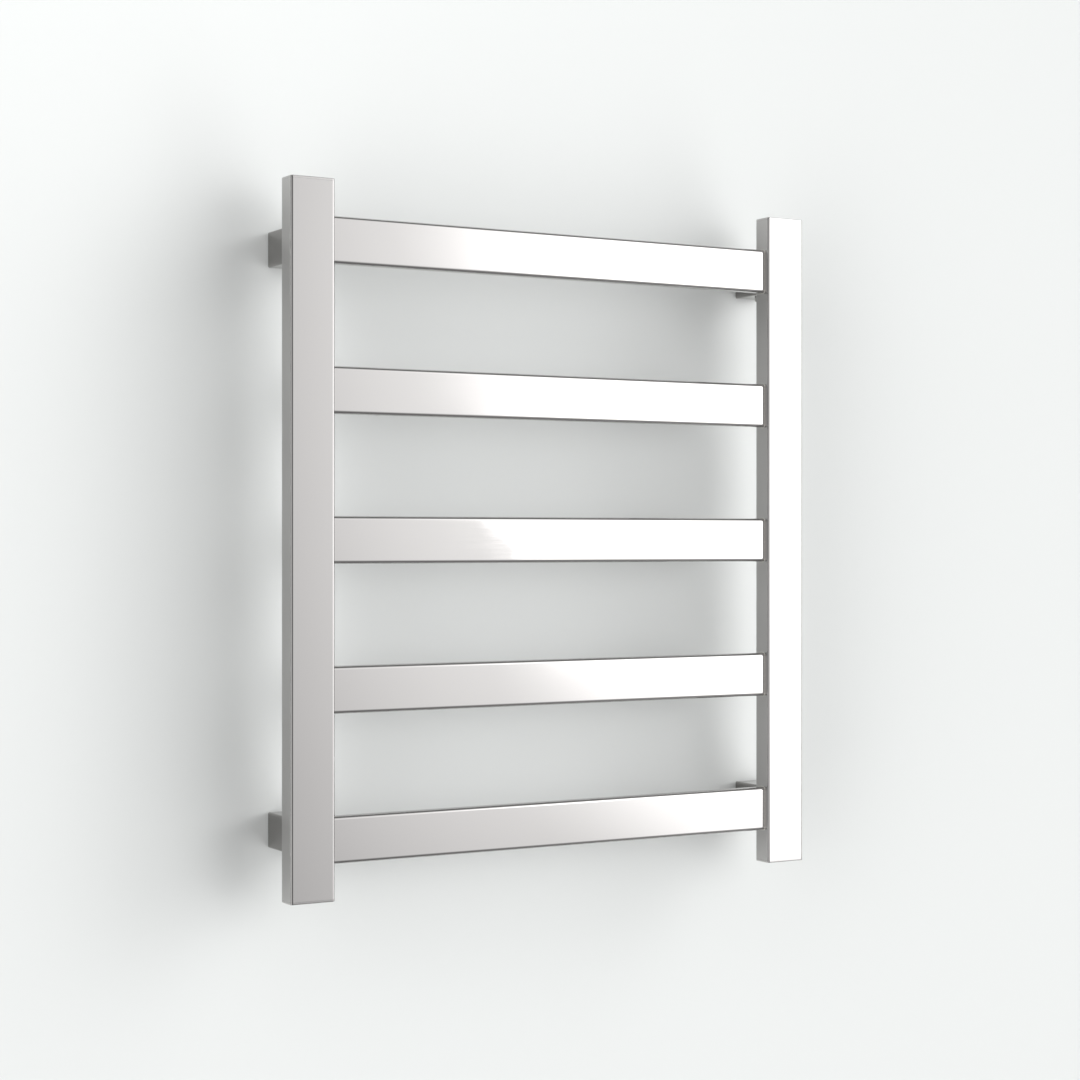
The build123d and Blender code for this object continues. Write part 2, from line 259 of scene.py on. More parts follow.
off_level = add(tree, "ShaderNodeMath", {"operation": "ABSOLUTE"}, {0: height}).outputs[0]
high_or_low = add(
    tree, "ShaderNodeMapRange", {"interpolation_type": "SMOOTHSTEP"},
    {
        "Value": off_level, "From Min": 20.0, "From Max": 34.0, "To Min": ROOM_LIGHT,
        "To Max": for_matt_or_mirror(ROOM_LIGHT, ABOVE_AND_BELOW),
    },
).outputs[0]
room = add(
    tree, "ShaderNodeMapRange", {"interpolation_type": "SMOOTHSTEP"},
    {
        "Value": height, "From Min": 50.0, "From Max": 75.0, "To Min": high_or_low,
        "To Max": for_matt_or_mirror(CEILING_LIGHT, CEILING_MIRRORED),
    },
).outputs[0]
for matt, mirror, side_middle, side_spread, up_middle, up_spread in GLOWS:
    across = add(
        tree, "ShaderNodeMapRange", {"clamp": False},
        {"Value": bearing, "From Min": side_middle, "From Max": side_middle + side_spread},
    ).outputs[0]
    upward = add(
        tree, "ShaderNodeMapRange", {"clamp": False},
        {"Value": height, "From Min": up_middle, "From Max": up_middle + up_spread},
    ).outputs[0]
    upward_squared = add(tree, "ShaderNodeMath", {"operation": "MULTIPLY"}, {0: upward, 1: upward}).outputs[0]
    distance = add(
        tree, "ShaderNodeMath", {"operation": "MULTIPLY_ADD"}, {0: across, 1: across, 2: upward_squared}
    ).outputs[0]
    fade = add(tree, "ShaderNodeMath", {"operation": "MULTIPLY"}, {0: distance, 1: -0.5}).outputs[0]
    bell = add(tree, "ShaderNodeMath", {"operation": "EXPONENT"}, {0: fade}).outputs[0]
    room = add(
        tree, "ShaderNodeMath", {"operation": "MULTIPLY_ADD"},
        {0: bell, 1: for_matt_or_mirror(matt, mirror), 2: room},
    ).outputs[0]
print("glows:", len(GLOWS))

# %% [markdown]
# A flat face turned to the camera mirrors only a narrow strip of the room to the front right. There the room
# is mid grey, a little darker towards the floor, and then a bright doorway begins. Its edge is the step that
# is seen in the middle rung, sharp and slanted at eye level and soft above and below. The edge isn't one
# simple shape, so two Float Curve nodes draw it: one says at what bearing the doorway's light begins at each
# height, and the other how many degrees it takes to reach full strength.

# %% Doorway seen in the front faces
DOORWAY_LIGHT = 2.1
CURVE_HEIGHTS = (-12.0, 12.0)  # degrees, the ends of both curves
CURVE_TOP = 40.0  # degrees of bearing at the top of a curve
DOOR_BEGINS = [  # height, then the bearing where the light begins
    (-12, 32.0), (-7.2, 29.2), (-3.6, 28.4), (-0.6, 29.2),
    (0.6, 28.6), (3.6, 26.6), (7.2, 26.0), (12, 26.0),
]
DOOR_BLUR = [  # height, then the degrees that it takes to reach full strength
    (-12, 11.0), (-7.2, 11.0), (-3.6, 7.7), (-1.0, 0.3),
    (1.0, 0.3), (3.6, 6.8), (7.2, 7.4), (12, 7.4),
]


def curve_over_height(points):
    """A value in degrees that follows a curve, drawn through the given points, over the height of a
    direction.
    """
    low, high = CURVE_HEIGHTS
    along = add(
        tree, "ShaderNodeMapRange", None, {"Value": height, "From Min": low, "From Max": high}
    ).outputs[0]
    curve = add(tree, "ShaderNodeFloatCurve", None, {"Value": along})
    drawn = curve.mapping.curves[0].points
    wanted = [((level - low) / (high - low), value / CURVE_TOP) for level, value in points]
    drawn[0].location = wanted[0]
    drawn[-1].location = wanted[-1]
    for spot in wanted[1:-1]:
        drawn.new(*spot)
    for point in drawn:
        point.handle_type = "VECTOR"
    curve.mapping.update()
    return add(
        tree, "ShaderNodeMath", {"operation": "MULTIPLY"}, {0: curve.outputs[0], 1: CURVE_TOP}
    ).outputs[0]


begins = curve_over_height(DOOR_BEGINS)
blur = curve_over_height(DOOR_BLUR)
full = add(tree, "ShaderNodeMath", {"operation": "ADD"}, {0: begins, 1: blur}).outputs[0]
past_edge = add(
    tree, "ShaderNodeMapRange", {"interpolation_type": "SMOOTHSTEP"},
    {"Value": bearing, "From Min": begins, "From Max": full},
).outputs[0]
before_end = add(
    tree, "ShaderNodeMapRange", {"interpolation_type": "SMOOTHSTEP"},
    {
        "Value": bearing, "From Min": for_matt_or_mirror(50.0, 42.0),
        "From Max": for_matt_or_mirror(64.0, 52.0), "To Min": 1.0, "To Max": 0.0,
    },
).outputs[0]
above_sill = add(
    tree, "ShaderNodeMapRange", {"interpolation_type": "SMOOTHSTEP"},
    {"Value": height, "From Min": -22.0, "From Max": -9.0},
).outputs[0]
below_head = add(
    tree, "ShaderNodeMapRange", {"interpolation_type": "SMOOTHSTEP"},
    {"Value": height, "From Min": 14.0, "From Max": 30.0, "To Min": 1.0, "To Max": 0.0},
).outputs[0]
across = add(tree, "ShaderNodeMath", {"operation": "MULTIPLY"}, {0: past_edge, 1: before_end}).outputs[0]
upward = add(tree, "ShaderNodeMath", {"operation": "MULTIPLY"}, {0: above_sill, 1: below_head}).outputs[0]
inside = add(tree, "ShaderNodeMath", {"operation": "MULTIPLY"}, {0: across, 1: upward}).outputs[0]
doorway = add(
    tree, "ShaderNodeMath", {"operation": "MULTIPLY_ADD"}, {0: inside, 1: DOORWAY_LIGHT, 2: room}
).outputs[0]
print("doorway at eye level begins", DOOR_BEGINS[4][1], "degrees to the right")

# %% [markdown]
# Before the doorway the room grows lighter from left to right, and falls off from a little above eye level
# down to the floor. That is what gives the left upright its slow change of tone.

# %% Grey of the room beside the doorway
BESIDE_LIGHT = 1.70
BESIDE_HEIGHT = 6.6
BESIDE_SPREAD = 19.3

lighter = add(
    tree, "ShaderNodeMapRange", {"interpolation_type": "SMOOTHSTEP"},
    {"Value": bearing, "From Min": 12.0, "From Max": 31.0},
).outputs[0]
darker = add(
    tree, "ShaderNodeMapRange", {"interpolation_type": "SMOOTHSTEP"},
    {
        "Value": bearing, "From Min": for_matt_or_mirror(55.0, 42.0),
        "From Max": for_matt_or_mirror(75.0, 56.0), "To Min": 1.0, "To Max": 0.0,
    },
).outputs[0]
off_middle = add(
    tree, "ShaderNodeMapRange", {"clamp": False},
    {"Value": height, "From Min": BESIDE_HEIGHT, "From Max": BESIDE_HEIGHT + BESIDE_SPREAD},
).outputs[0]
squared = add(tree, "ShaderNodeMath", {"operation": "MULTIPLY"}, {0: off_middle, 1: off_middle}).outputs[0]
fade = add(tree, "ShaderNodeMath", {"operation": "MULTIPLY"}, {0: squared, 1: -0.5}).outputs[0]
bell = add(tree, "ShaderNodeMath", {"operation": "EXPONENT"}, {0: fade}).outputs[0]
band = add(tree, "ShaderNodeMath", {"operation": "MULTIPLY"}, {0: lighter, 1: darker}).outputs[0]
beside = add(tree, "ShaderNodeMath", {"operation": "MULTIPLY"}, {0: band, 1: bell}).outputs[0]
whole = add(
    tree, "ShaderNodeMath", {"operation": "MULTIPLY_ADD"}, {0: beside, 1: BESIDE_LIGHT, 2: doorway}
).outputs[0]
lit = add(tree, "ShaderNodeBackground", None, {"Color": colour("#FFFFFF"), "Strength": whole}).outputs[0]
plain = add(tree, "ShaderNodeBackground", None, {"Color": colour("#E9EAEC"), "Strength": 1.0}).outputs[0]
seen = add(tree, "ShaderNodeLightPath").outputs["Is Camera Ray"]
mixed = add(tree, "ShaderNodeMixShader", None, {0: seen, 1: lit, 2: plain}).outputs[0]
add(tree, "ShaderNodeOutputWorld", None, {"Surface": mixed})
print("room of light:", len(tree.nodes), "nodes")

# %% [markdown]
# A small softbox hangs in front of the wall, above the rack. It lifts the top of the wall. The camera
# can't see it, so it doesn't get in the way of views from above.

# %% Light above the rack
overhead = bpy.data.lights.new("overhead softbox", "AREA")
overhead.shape = "RECTANGLE"
overhead.size = 1.2
overhead.size_y = 0.4
overhead.energy = 2.2
overhead_lamp = bpy.data.objects.new("overhead softbox", overhead)
scene.collection.objects.link(overhead_lamp)
overhead_lamp.location = (-0.7, -0.6, 1.1)
aim = Vector((-0.5, 0.0, 0.7)) - overhead_lamp.location
overhead_lamp.rotation_euler = aim.to_track_quat("-Z", "Y").to_euler()
overhead_lamp.visible_camera = False
print("overhead softbox", overhead.energy, "W")

# %% [markdown]
# ## Polished stainless steel
#
# The tubes are 304 stainless steel, belt ground and then mirror polished. What the eye gets from that: sharp
# reflections that bend a little where the tube wall isn't quite flat, and a faint veil along the tube where
# the belt ran. Stainless is a slightly warm grey, darker than chrome. The flatness error is a slow bump, a
# few hundredths of a millimetre over a hand's width. The belt lines are a fine noise that is stretched along
# the tube, so each direction of tube has its own material, and they only change the roughness.

# %% Polished steel finishes
STEEL_GREY = "#BCBAB9"
WAVE_LENGTH = 70 * MM  # distance between soft swellings of a pressed or rolled tube wall
WAVE_DEPTH = 0.012 * MM
LINE_SPACING = 1.2 * MM  # belt lines are finer, and are drawn this coarse so that they show
LINE_LENGTH = 60 * MM


def polished_steel(name, along, dull, grey):
    """Mirror-polished stainless steel whose belt lines run along one axis, 0 for X, 1 for Y and 2 for Z."""
    material, tree = finish_named(name)
    place = add(tree, "ShaderNodeTexCoord").outputs["Object"]
    line_scale = [1 / LINE_SPACING] * 3
    line_scale[along] = 1 / LINE_LENGTH
    stretched = add(tree, "ShaderNodeMapping", None, {"Vector": place, "Scale": line_scale}).outputs[0]
    lines = add(
        tree, "ShaderNodeTexNoise", None, {"Vector": stretched, "Scale": 1.0, "Detail": 3.0}
    ).outputs[0]
    clouds = add(
        tree, "ShaderNodeTexNoise", None,
        {"Vector": place, "Scale": 1 / (25 * MM), "Detail": 2.0, "Roughness": 0.6},
    ).outputs[0]
    veil = add(tree, "ShaderNodeMath", {"operation": "MULTIPLY"}, {0: lines, 1: clouds}).outputs[0]
    roughness = add(
        tree, "ShaderNodeMapRange", None,
        {"Value": veil, "From Min": 0.1, "From Max": 0.45, "To Min": dull * 0.6, "To Max": dull * 1.4},
    ).outputs[0]
    swell = add(
        tree, "ShaderNodeTexNoise", None, {"Vector": place, "Scale": 1 / WAVE_LENGTH, "Detail": 1.0}
    ).outputs[0]
    normal = add(
        tree, "ShaderNodeBump", None, {"Strength": 1.0, "Distance": WAVE_DEPTH, "Height": swell}
    ).outputs[0]
    shader = add(
        tree, "ShaderNodeBsdfPrincipled", None,
        {"Base Color": colour(grey), "Metallic": 1.0, "Roughness": roughness, "Normal": normal},
    ).outputs[0]
    add(tree, "ShaderNodeOutputMaterial", None, {"Surface": shader})
    return material


SLEEVE_PAINTED_SHADE_GREY = "#9A9896"  # painted shade: the square tubes sit in the shade between upright and wall, and a darker grey stands in for it
upright_steel = polished_steel("mirror polished stainless upright tube", 2, 0.06, STEEL_GREY)
rung_steel = polished_steel("mirror polished stainless flat tube", 0, 0.05, STEEL_GREY)
# the sleeves' darker base grey is painted shade, the same steel as the uprights
sleeve_steel_with_painted_shade = polished_steel("polished stainless square tube with painted shade", 1, 0.12, SLEEVE_PAINTED_SHADE_GREY)
cap_steel = polished_steel("polished stainless cap plate", 0, 0.12, STEEL_GREY)
print("steel grey in linear light", [round(v, 3) for v in colour(STEEL_GREY)[:3]])

# %% [markdown]
# A weld bead on polished tube is dressed with a flap wheel and buffed. It stays a little duller than the
# tube, with small swirls that have no direction.

# %% Dressed weld finish
weld_steel, tree = finish_named("dressed and buffed weld bead")
place = add(tree, "ShaderNodeTexCoord").outputs["Object"]
swirls = add(
    tree, "ShaderNodeTexNoise", None, {"Vector": place, "Scale": 1 / (1.5 * MM), "Detail": 4.0}
).outputs[0]
roughness = add(
    tree, "ShaderNodeMapRange", None,
    {"Value": swirls, "From Min": 0.3, "From Max": 0.7, "To Min": 0.12, "To Max": 0.26},
).outputs[0]
normal = add(
    tree, "ShaderNodeBump", None, {"Strength": 0.6, "Distance": 0.03 * MM, "Height": swirls}
).outputs[0]
shader = add(
    tree, "ShaderNodeBsdfPrincipled", None,
    {"Base Color": colour("#C9C5BF"), "Metallic": 1.0, "Roughness": roughness, "Normal": normal},
).outputs[0]
add(tree, "ShaderNodeOutputMaterial", None, {"Surface": shader})
print("finishes so far:", len(bpy.data.materials))

# %% [markdown]
# ## Mesh helpers
#
# A tube, a plate or a cutter is a stack of rings with the same number of points, joined by quads. One
# function draws a rounded rectangle as a ring, and one joins the rings. On a polished flat face the shading
# has to stay flat right up to the corner, so the ring has an extra point on each flat, just before the
# corner starts: the smooth shading turns within that narrow strip.

# %% Rings and shells
CORNER_STEPS = 8
HOLD = 0.12 * MM  # from the end of a corner's arc to the extra point on the flat


def rounded_ring(width, height, radius):
    """Points (a, b) of a rounded rectangle about the origin, anticlockwise, with hold points on its flats."""
    points = []
    for quarter, (sa, sb) in enumerate([(1, 1), (-1, 1), (-1, -1), (1, -1)]):
        centre_a = sa * (width / 2 - radius)
        centre_b = sb * (height / 2 - radius)
        start = quarter * math.pi / 2
        turn_steps = [start + math.pi / 2 * step / CORNER_STEPS for step in range(CORNER_STEPS + 1)]
        arc = [(centre_a + radius * math.cos(t), centre_b + radius * math.sin(t)) for t in turn_steps]
        before = (arc[0][0] + HOLD * math.sin(start), arc[0][1] - HOLD * math.cos(start))
        last = start + math.pi / 2
        after = (arc[-1][0] - HOLD * math.sin(last), arc[-1][1] + HOLD * math.cos(last))
        points += [before] + arc + [after]
    return points


def round_ring(radius, count):
    """Points (a, b) of a circle about the origin, anticlockwise."""
    turns = [2 * math.pi * step / count for step in range(count)]
    return [(radius * math.cos(t), radius * math.sin(t)) for t in turns]


def shell(name, rings, material, closed):
    """A mesh of quads between rings of 3-D points. A closed stack joins its last ring to its first."""
    mesh = bpy.data.meshes.new(name)
    build = bmesh.new()
    rows = [[build.verts.new(point) for point in ring] for ring in rings]
    pairs = list(zip(rows, rows[1:]))
    if closed:
        pairs.append((rows[-1], rows[0]))
    else:
        build.faces.new(rows[0])
        build.faces.new(rows[-1])
    for lower, upper in pairs:
        for i in range(len(lower)):
            j = (i + 1) % len(lower)
            build.faces.new((lower[i], lower[j], upper[j], upper[i]))
    bmesh.ops.recalc_face_normals(build, faces=build.faces)
    for face in build.faces:
        face.smooth = True
    build.to_mesh(mesh)
    build.free()
    mesh.set_sharp_from_angle(angle=math.radians(32))
    mesh.materials.append(material)
    return mesh


def shown(name, mesh):
    """An object at the origin that shows a mesh."""
    made = bpy.data.objects.new(name, mesh)
    scene.collection.objects.link(made)
    return made


# %% [markdown]
# ## Uprights
#
# Each upright is a length of rectangular tube. It could be a bar, because its ends are closed, but the
# inside holds the cable and the connector, so it is a real tube with a wall. The rings go up the outside and
# down the inside, with a tiny broken edge at each end, where the saw cut was deburred.

# %% Upright tubes
BROKEN_EDGE = 0.06 * MM


def tube_rings(outer_ring, inner_ring, low, high, place):
    """Rings of a tube along one axis: up the outside, over the end, down the inside."""
    def at(ring, level, shrink):
        return [place(a * shrink, b * shrink, level) for a, b in ring]

    widest = max(a for a, b in outer_ring)
    narrow = (widest - BROKEN_EDGE) / widest
    return [
        at(outer_ring, low, narrow),
        at(outer_ring, low + BROKEN_EDGE, 1),
        at(outer_ring, low + 2 * BROKEN_EDGE, 1),
        at(outer_ring, high - 2 * BROKEN_EDGE, 1),
        at(outer_ring, high - BROKEN_EDGE, 1),
        at(outer_ring, high, narrow),
        at(inner_ring, high, 1),
        at(inner_ring, low, 1),
    ]


def upright_tube(side):
    """The tube of the left (-1) or right (1) upright."""
    centre_x = side * (upright_low.x + upright_high.x) / -2
    centre_y = (upright_low.y + upright_high.y) / 2
    outer = rounded_ring(upright_width, upright_depth, UPRIGHT_CORNER)
    inner_width = upright_width - 2 * UPRIGHT_WALL
    inner_depth = upright_depth - 2 * UPRIGHT_WALL
    inner = rounded_ring(inner_width, inner_depth, UPRIGHT_CORNER - UPRIGHT_WALL)
    rings = tube_rings(
        outer, inner, upright_low.z, upright_high.z, lambda a, b, c: (centre_x + a, centre_y + b, c)
    )
    return shell("upright", rings, upright_steel, closed=True)


left_tube = upright_tube(-1)
right_tube = upright_tube(1)
print("upright tube faces:", len(left_tube.polygons))

# %% [markdown]
# The tubes have openings that can't be seen from the front: a slot behind each rung end for the heating
# cable, and a round hole for the supply grommet. They are cut with a Boolean modifier, as a mill would cut
# them, and the modifier is applied at once, so that the piece is a plain mesh.

# %% Openings in the uprights
SLOT_HEIGHT = 26 * MM
SLOT_WIDTH = 6 * MM
GROMMET_HOLE = 4.5 * MM


def slot_cutter(side, level):
    """A stadium-shaped bar along X through the inner wall of an upright."""
    half = SLOT_WIDTH / 2
    ring = []
    for step in range(25):
        angle = math.pi * step / 24
        ring.append((half * math.cos(angle), (SLOT_HEIGHT - SLOT_WIDTH) / 2 + half * math.sin(angle)))
    ring += [(-a, -b) for a, b in ring]
    middle = side * inner_side
    ends = [middle - 2 * UPRIGHT_WALL, middle + 2 * UPRIGHT_WALL]
    rings = [[(x, rung_mid_y + a, level + b) for a, b in ring] for x in ends]
    return shell("slot", rings, upright_steel, closed=False)


def hole_cutter(x, z, radius, near, far):
    """A round bar along Y."""
    rings = [[(x + a, y, z + b) for a, b in round_ring(radius, 48)] for y in (near, far)]
    return shell("hole", rings, upright_steel, closed=False)


def cut(mesh, cutters):
    """The mesh less all the cutters, as a plain mesh."""
    holder = shown("holder", mesh)
    tools = [shown("tool", cutter) for cutter in cutters]
    for tool in tools:
        modifier = holder.modifiers.new("cut", "BOOLEAN")
        modifier.operation = "DIFFERENCE"
        modifier.solver = "EXACT"
        modifier.object = tool
    graph = bpy.context.evaluated_depsgraph_get()
    result = bpy.data.meshes.new_from_object(holder.evaluated_get(graph))
    for made in [holder, *tools]:
        bpy.data.objects.remove(made)
    result.set_sharp_from_angle(angle=math.radians(32))
    return result


grommet_low, grommet_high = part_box("supply_grommet")
grommet_x = (grommet_low.x + grommet_high.x) / 2
grommet_z = (grommet_low.z + grommet_high.z) / 2
grommet_bar = hole_cutter(
    grommet_x, grommet_z, GROMMET_HOLE, upright_back - 2 * UPRIGHT_WALL, upright_back + UPRIGHT_WALL
)
left_cutters = [slot_cutter(-1, level) for level in rung_levels] + [grommet_bar]
right_cutters = [slot_cutter(1, level) for level in rung_levels]
left_upright = shown("upright_left_tube", cut(left_tube, left_cutters))
right_upright = shown("upright_right_tube", cut(right_tube, right_cutters))
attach(left_upright, "rack")
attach(right_upright, "rack")
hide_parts("upright_left")
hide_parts("upright_right")
print("left upright after cutting:", len(left_upright.data.polygons), "faces")

# %% [markdown]
# ## End caps
#
# A 2 mm plate closes each end of an upright, with a thin skirt that finds the inside of the tube. The plate
# is welded on and dressed until only a hairline is left. The hairline comes from the broken edge of the tube
# meeting the same tiny edge on the plate. The outer edges are eased, so they catch a thin line of light.

# %% End caps
CAP_EDGE = 0.6 * MM
CAP_SKIRT_WALL = 1.5 * MM
CAP_FIT = 0.2 * MM
EDGE_STEPS = 4


def end_cap(name):
    """A cap as one closed shell: plate, eased edge, flat top and hollow skirt."""
    low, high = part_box(name)
    up = 1 if high.z > 0 else -1
    top = high.z if up > 0 else low.z
    seat = upright_high.z * up
    skirt_end = low.z if up > 0 else high.z
    centre = (low + high) / 2

    def ring(inset, level):
        corner = max(UPRIGHT_CORNER - inset, 0.3 * MM)
        outline = rounded_ring(upright_width - 2 * inset, upright_depth - 2 * inset, corner)
        return [(centre.x + a, centre.y + b, level) for a, b in outline]

    skirt_outside = UPRIGHT_WALL + CAP_FIT
    skirt_inside = skirt_outside + CAP_SKIRT_WALL
    rings = [
        ring(skirt_inside, seat),
        ring(skirt_inside, skirt_end),
        ring(skirt_outside, skirt_end),
        ring(skirt_outside, seat),
        ring(BROKEN_EDGE, seat),
        ring(0, seat + up * BROKEN_EDGE),
        ring(0, seat + up * 2 * BROKEN_EDGE),
    ]
    for step in range(EDGE_STEPS + 1):
        angle = math.pi / 2 * step / EDGE_STEPS
        inset = CAP_EDGE * (1 - math.cos(angle))
        rings.append(ring(inset, top - up * CAP_EDGE * (1 - math.sin(angle))))
    rings.append(ring(CAP_EDGE + HOLD, top))
    return shell(name, rings, cap_steel, closed=False)


for corner in corners:
    node_name = "end_cap_" + corner
    cap = shown(node_name + "_plate", end_cap(node_name))
    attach(cap, "rack")
    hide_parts(node_name)
print("cap faces:", len(cap.data.polygons))

# %% [markdown]
# ## Rungs
#
# The five rungs are the same piece at five levels, so this is work for Geometry Nodes. The tree starts from
# one flat ring, the cut end of the tube. Extrude Mesh pulls it to length, and Instance on Points puts a copy
# at every level. The sizes are inputs with names, so the ladder can be tried at another pitch or length.

# %% Tree that makes the rungs
def new_tree(name, sockets):
    """A geometry tree with a geometry input and output and the named inputs."""
    tree = bpy.data.node_groups.new(name, "GeometryNodeTree")
    tree.interface.new_socket("Geometry", in_out="INPUT", socket_type="NodeSocketGeometry")
    tree.interface.new_socket("Geometry", in_out="OUTPUT", socket_type="NodeSocketGeometry")
    for label, kind in sockets.items():
        tree.interface.new_socket(label, in_out="INPUT", socket_type=kind)
    return tree, tree.nodes.new("NodeGroupInput").outputs


def grow(name, tree, start_mesh, values):
    """Runs a geometry tree on a mesh and keeps the result as a plain mesh."""
    holder = shown("holder", start_mesh)
    modifier = holder.modifiers.new("grow", "NODES")
    modifier.node_group = tree
    for item in tree.interface.items_tree:
        if item.in_out == "INPUT" and item.name in values:
            modifier[item.identifier] = values[item.name]
    graph = bpy.context.evaluated_depsgraph_get()
    result = bpy.data.meshes.new_from_object(holder.evaluated_get(graph))
    bpy.data.objects.remove(holder)
    result.name = name
    result.set_sharp_from_angle(angle=math.radians(32))
    return result


rung_tree, given = new_tree(
    "rungs of the ladder",
    {
        "Length": "NodeSocketFloat", "Rungs": "NodeSocketInt", "First level": "NodeSocketFloat",
        "Pitch": "NodeSocketFloat", "Finish": "NodeSocketMaterial",
    },
)
tree = rung_tree
half = add(tree, "ShaderNodeMath", {"operation": "MULTIPLY"}, {0: given["Length"], 1: 0.5}).outputs[0]
left_by = add(tree, "ShaderNodeMath", {"operation": "MULTIPLY"}, {0: half, 1: -1.0}).outputs[0]
start = add(tree, "ShaderNodeCombineXYZ", None, {"X": left_by}).outputs[0]
section = add(
    tree, "GeometryNodeTransform", None, {"Geometry": given["Geometry"], "Translation": start}
).outputs[0]
pulled = add(
    tree, "GeometryNodeExtrudeMesh", {"mode": "FACES"},
    {"Mesh": section, "Offset": (1.0, 0.0, 0.0), "Offset Scale": given["Length"], "Individual": False},
).outputs[0]
near_end = add(tree, "GeometryNodeFlipFaces", None, {"Mesh": section}).outputs[0]
both = add(tree, "GeometryNodeJoinGeometry")
tree.links.new(pulled, both.inputs[0])
tree.links.new(near_end, both.inputs[0])
tube = add(
    tree, "GeometryNodeMergeByDistance", None, {"Geometry": both.outputs[0], "Distance": 0.002 * MM}
).outputs[0]

first = add(tree, "ShaderNodeCombineXYZ", None, {"Z": given["First level"]}).outputs[0]
step_up = add(tree, "ShaderNodeCombineXYZ", None, {"Z": given["Pitch"]}).outputs[0]
levels = add(
    tree, "GeometryNodeMeshLine", None, {"Count": given["Rungs"], "Start Location": first, "Offset": step_up}
).outputs[0]
copies = add(tree, "GeometryNodeInstanceOnPoints", None, {"Points": levels, "Instance": tube}).outputs[0]
solid = add(tree, "GeometryNodeRealizeInstances", None, {"Geometry": copies}).outputs[0]
dressed = add(
    tree, "GeometryNodeSetMaterial", None, {"Geometry": solid, "Material": given["Finish"]}
).outputs[0]
add(tree, "NodeGroupOutput", None, {0: dressed})
print("rung tree:", len(tree.nodes), "nodes")

# %% [markdown]
# The cut end is a thin ring of faces between the outer and the inner outline of the flat tube. It is drawn
# in mesh code, because its points have to match one to one and keep their hold points.

# %% Rungs
def section_ring():
    """The cut end of a rung: faces between the outer and inner outlines, in the YZ plane."""
    depth = rung_high.y - rung_low.y
    height = rung_high.z - rung_low.z
    outer = rounded_ring(depth, height, RUNG_CORNER)
    inner = rounded_ring(depth - 2 * RUNG_WALL, height - 2 * RUNG_WALL, RUNG_CORNER - RUNG_WALL)
    count = len(outer)
    points = [(0, rung_mid_y + a, b) for a, b in outer + inner]
    faces = [(i, (i + 1) % count, count + (i + 1) % count, count + i) for i in range(count)]
    mesh = bpy.data.meshes.new("rung section")
    mesh.from_pydata(points, [], faces)
    for face in mesh.polygons:
        face.use_smooth = True
    return mesh


rung_mesh = grow(
    "rungs", rung_tree, section_ring(),
    {
        "Length": 2 * inner_side, "Rungs": len(rungs), "First level": rung_levels[0], "Pitch": rung_pitch,
        "Finish": rung_steel,
    },
)
rung_piece = shown("rungs_flat_tube", rung_mesh)
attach(rung_piece, "rack")
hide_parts(*rungs)
print("rungs:", len(rung_mesh.polygons), "faces")

# %% [markdown]
# ## Welds
#
# Each rung end is TIG welded to the upright all the way round, and the small hollow fillet is polished with
# the tube. The fillet is a sweep: a hollow triangle carried along the rung's outline, whose size swells a
# little from place to place as a hand-laid bead does.

# %% Weld beads at the rung ends
WELD_SIZE = 0.7 * MM
WELD_STEPS = 5
WELD_SINK = 0.05 * MM  # how deep the bead's feet sit in the tubes, so that no gap shows


def fillet_profile(size):
    """Points (along, out) of a hollow fillet: along the branch tube and out from it."""
    points = []
    for step in range(WELD_STEPS + 1):
        angle = math.pi / 2 * step / WELD_STEPS
        points.append((size * (1 - math.sin(angle)), size * (1 - math.cos(angle))))
    return points + [(-WELD_SINK, size), (-WELD_SINK, -WELD_SINK), (size, -WELD_SINK)]


def outline_around(wide, tall, corner):
    """Points and outward directions around a rounded rectangle, back to the first point."""
    path = []
    for quarter, (sa, sb) in enumerate([(1, 1), (-1, 1), (-1, -1), (1, -1)]):
        for step in range(CORNER_STEPS + 1):
            turn = math.radians(90 * quarter + 90 * step / CORNER_STEPS)
            out = (math.cos(turn), math.sin(turn))
            centre = (sa * (wide / 2 - corner), sb * (tall / 2 - corner))
            path.append((centre[0] + corner * out[0], centre[1] + corner * out[1], *out))
    return path + [path[0]]


def spaced(path, spacing):
    """The path with points added so that none is further than the spacing from the next."""
    result = []
    for here, there in zip(path, path[1:]):
        distance = math.hypot(there[0] - here[0], there[1] - here[1])
        pieces = max(1, math.ceil(distance / spacing))
        for piece in range(pieces):
            share = piece / pieces
            result.append(tuple(a + (b - a) * share for a, b in zip(here, there)))
    return result + [path[-1]]


def rung_weld(side):
    """The bead at one end of a rung at level zero."""
    rings = []
    outline = outline_around(rung_high.y - rung_low.y, rung_high.z - rung_low.z, RUNG_CORNER)
    for number, (y, z, out_y, out_z) in enumerate(spaced(outline, 1.5 * MM)[:-1]):
        size = WELD_SIZE * (1 + 0.10 * math.sin(number * 0.9) + 0.05 * math.sin(number * 2.3))
        ring = []
        for along, out in fillet_profile(size):
            ring.append((side * (inner_side - along), rung_mid_y + y + out_y * out, z + out_z * out))
        rings.append(ring)
    return shell("rung weld", rings, weld_steel, closed=True)


def joined(name, meshes):
    """Several meshes as one."""
    build = bmesh.new()
    for mesh in meshes:
        build.from_mesh(mesh)
    result = bpy.data.meshes.new(name)
    build.to_mesh(result)
    build.free()
    for face in result.polygons:
        face.use_smooth = True
    result.materials.append(meshes[0].materials[0])
    result.set_sharp_from_angle(angle=math.radians(50))
    return result


one_level = joined("welds of one rung", [rung_weld(-1), rung_weld(1)])
print("welds of one rung:", len(one_level.polygons), "faces")

# %% [markdown]
# The two beads of one rung are repeated at every level by a second, shorter geometry tree.

